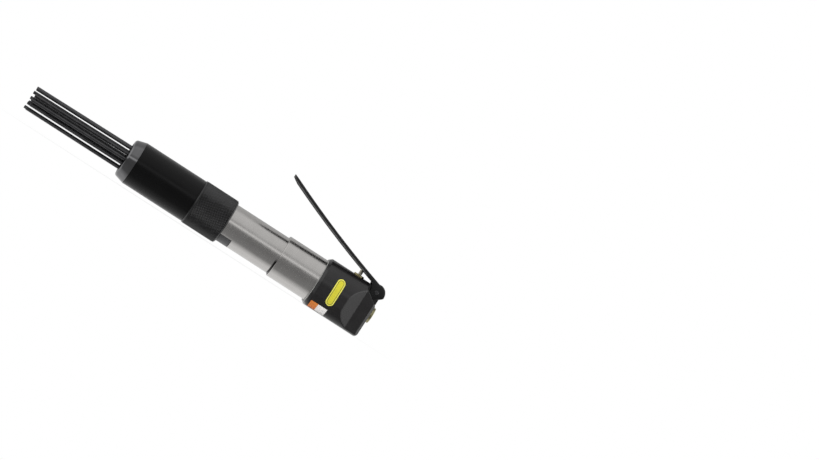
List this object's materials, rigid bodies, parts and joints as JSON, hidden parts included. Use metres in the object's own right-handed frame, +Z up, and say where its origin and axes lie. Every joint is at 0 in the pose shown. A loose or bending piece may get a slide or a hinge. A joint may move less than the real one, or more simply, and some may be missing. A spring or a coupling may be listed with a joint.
{
  "type": "needle scaler",
  "caption": "Straight air driven needle scaler: loose steel needles in a black sleeve with a knurled collar, silver cylinder, throttle housing and squeeze lever.",
  "frame": {"origin": "centre of the air inlet's mouth, on the tool's axis, at the rear end", "axes": "+X along the tool's axis towards the rear, out of the air inlet, so the needles point towards -X; +Z up through the throttle lever; -Y towards the side with the labels"},
  "size_m": [0.3574, 0.0475, 0.0924],
  "materials": {
    "black_housing": "satin black coat",
    "black_lever": "satin black coat",
    "black_knurl": "black oxide over a fine knurl",
    "gloss_black": "glossy black coat",
    "dark_chrome": "polished dark steel",
    "satin_steel": "ground steel, nickel plated",
    "needle_steel": "dark oiled steel wire",
    "bright_steel": "ground steel",
    "spring_steel": "spring wire",
    "dark_key": "black oxide",
    "olive_brass": "dull plated brass",
    "bush_bronze": "turned bronze",
    "seal_rubber": "matte black",
    "yellow_label": "printed film",
    "orange_label": "printed film",
    "white_label": "printed film"
  },
  "bodies": {
    "tool_body": {"throttle_housing": "black_housing", "inlet_bushing": "olive_brass", "inlet_screen": "bright_steel", "throttle_bushing": "olive_brass", "bushing_seal": "seal_rubber", "throttle_spring": "spring_steel", "throttle_plug": "olive_brass", "plug_seal": "seal_rubber", "lever_pin": "bright_steel", "valve_cap": "bright_steel", "valve_seat": "bright_steel", "valve_dowels": "bright_steel", "cylinder": "satin_steel", "exhaust_sleeve": "satin_steel", "sleeve_seal": "seal_rubber", "anvil_bushing": "bush_bronze", "anvil_seal": "seal_rubber", "lock_key": "dark_key", "front_sleeve": "gloss_black", "nose_cone": "dark_chrome", "needle_spring": "spring_steel", "pill_label": "yellow_label", "orange_label": "orange_label", "white_label": "white_label"},
    "lever": {"throttle_lever": "black_lever"},
    "throttle_stem": {"throttle_valve": "bright_steel", "throttle_seal": "seal_rubber"},
    "flutter_valve": {"valve_disc": "bright_steel"},
    "hammer_piston": {"piston": "bright_steel"},
    "striking_anvil": {"anvil": "bright_steel"},
    "collar": {"knurled_collar": "black_knurl"},
    "holder": {"needle_holder": "dark_key"},
    "loose_needle_01": {"needle_01": "needle_steel"},
    "loose_needle_02": {"needle_02": "needle_steel"},
    "loose_needle_03": {"needle_03": "needle_steel"},
    "loose_needle_04": {"needle_04": "needle_steel"},
    "loose_needle_05": {"needle_05": "needle_steel"},
    "loose_needle_06": {"needle_06": "needle_steel"},
    "loose_needle_07": {"needle_07": "needle_steel"},
    "loose_needle_08": {"needle_08": "needle_steel"},
    "loose_needle_09": {"needle_09": "needle_steel"},
    "loose_needle_10": {"needle_10": "needle_steel"},
    "loose_needle_11": {"needle_11": "needle_steel"},
    "loose_needle_12": {"needle_12": "needle_steel"},
    "loose_needle_13": {"needle_13": "needle_steel"},
    "loose_needle_14": {"needle_14": "needle_steel"},
    "loose_needle_15": {"needle_15": "needle_steel"},
    "loose_needle_16": {"needle_16": "needle_steel"},
    "loose_needle_17": {"needle_17": "needle_steel"},
    "loose_needle_18": {"needle_18": "needle_steel"},
    "loose_needle_19": {"needle_19": "needle_steel"}
  },
  "joints": [
    {"name": "lever_pivot", "type": "hinge", "parent": "tool_body", "child": "lever", "pos_m": [-0.0082, 0, 0.0194], "axis": [0, -1, 0], "range_deg": [0, 14], "stiffness_Nm_per_rad": 0.39, "springref_deg": -10.31},
    {"name": "throttle_slide", "type": "slide", "parent": "tool_body", "child": "throttle_stem", "axis": [0, 0, -1], "range_m": [0, 0.0056], "deforming": ["throttle_spring"]},
    {"name": "flutter_valve_slide", "type": "slide", "parent": "tool_body", "child": "flutter_valve", "axis": [-1, 0, 0], "range_m": [0, 0.0006]},
    {"name": "piston_slide", "type": "slide", "parent": "tool_body", "child": "hammer_piston", "axis": [-1, 0, 0], "range_m": [0, 0.03]},
    {"name": "holder_slide", "type": "slide", "parent": "tool_body", "child": "holder", "axis": [-1, 0, 0], "range_m": [0, 0.005], "stiffness_N_per_m": 820, "springref_m": -0.008, "deforming": ["needle_spring"]},
    {"name": "anvil_slide", "type": "slide", "parent": "tool_body", "child": "striking_anvil", "axis": [-1, 0, 0], "range_m": [0, 0.005]},
    {"name": "collar_turn", "type": "hinge", "parent": "tool_body", "child": "collar", "pos_m": [-0.17055, 0, 0], "axis": [1, 0, 0], "continuous": true},
    {"name": "needle_01_slide", "type": "slide", "parent": "holder", "child": "loose_needle_01", "axis": [-0.9999, -0.0012, -0.0106], "range_m": [-0.00484, 0.00056]},
    {"name": "needle_02_slide", "type": "slide", "parent": "holder", "child": "loose_needle_02", "axis": [-1, 0.0026, -0.0082], "range_m": [-0.00095, 0.00445]},
    {"name": "needle_03_slide", "type": "slide", "parent": "holder", "child": "loose_needle_03", "axis": [-0.9999, -0.0001, -0.011], "range_m": [-0.00471, 0.00069]},
    {"name": "needle_04_slide", "type": "slide", "parent": "holder", "child": "loose_needle_04", "axis": [-0.9999, 0.001, -0.0106], "range_m": [-0.00305, 0.00235]},
    {"name": "needle_05_slide", "type": "slide", "parent": "holder", "child": "loose_needle_05", "axis": [-1, 0.0016, -0.0076], "range_m": [-0.00174, 0.00366]},
    {"name": "needle_06_slide", "type": "slide", "parent": "holder", "child": "loose_needle_06", "axis": [-1, -0.0011, -0.0071], "range_m": [-0.00533, 0.00007]},
    {"name": "needle_07_slide", "type": "slide", "parent": "holder", "child": "loose_needle_07", "axis": [-0.9999, 0.003, -0.0099], "range_m": [-0.00135, 0.00405]},
    {"name": "needle_08_slide", "type": "slide", "parent": "holder", "child": "loose_needle_08", "axis": [-1, -0.0012, -0.0085], "range_m": [-0.00363, 0.00177]},
    {"name": "needle_09_slide", "type": "slide", "parent": "holder", "child": "loose_needle_09", "axis": [-1, 0.0017, -0.0051], "range_m": [-0.00425, 0.00115]},
    {"name": "needle_10_slide", "type": "slide", "parent": "holder", "child": "loose_needle_10", "axis": [-1, 0.0002, -0.006], "range_m": [-0.00105, 0.00435]},
    {"name": "needle_11_slide", "type": "slide", "parent": "holder", "child": "loose_needle_11", "axis": [-1, 0.0001, -0.009], "range_m": [-0.00514, 0.00026]},
    {"name": "needle_12_slide", "type": "slide", "parent": "holder", "child": "loose_needle_12", "axis": [-1, 0.0022, -0.0073], "range_m": [-0.00231, 0.00309]},
    {"name": "needle_13_slide", "type": "slide", "parent": "holder", "child": "loose_needle_13", "axis": [-1, -0.0018, -0.0033], "range_m": [-0.0024, 0.003]},
    {"name": "needle_14_slide", "type": "slide", "parent": "holder", "child": "loose_needle_14", "axis": [-1, 0.0025, -0.0051], "range_m": [-0.0051, 0.0003]},
    {"name": "needle_15_slide", "type": "slide", "parent": "holder", "child": "loose_needle_15", "axis": [-1, -0.0008, -0.0074], "range_m": [-0.00102, 0.00438]},
    {"name": "needle_16_slide", "type": "slide", "parent": "holder", "child": "loose_needle_16", "axis": [-1, 0.0009, -0.0046], "range_m": [-0.00433, 0.00107]},
    {"name": "needle_17_slide", "type": "slide", "parent": "holder", "child": "loose_needle_17", "axis": [-1, 0.0006, -0.0015], "range_m": [-0.00353, 0.00187]},
    {"name": "needle_18_slide", "type": "slide", "parent": "holder", "child": "loose_needle_18", "axis": [-1, -0.001, -0.0046], "range_m": [-0.0014, 0.004]},
    {"name": "needle_19_slide", "type": "slide", "parent": "holder", "child": "loose_needle_19", "axis": [-1, 0.0024, -0.005], "range_m": [-0.00534, 0.00006]}
  ],
  "couplings": [
    {"joint": "throttle_slide", "follows": "lever_pivot", "m_per_rad": 0.0226},
    {"joint": "anvil_slide", "follows": "holder_slide", "ratio": 1}
  ]
}
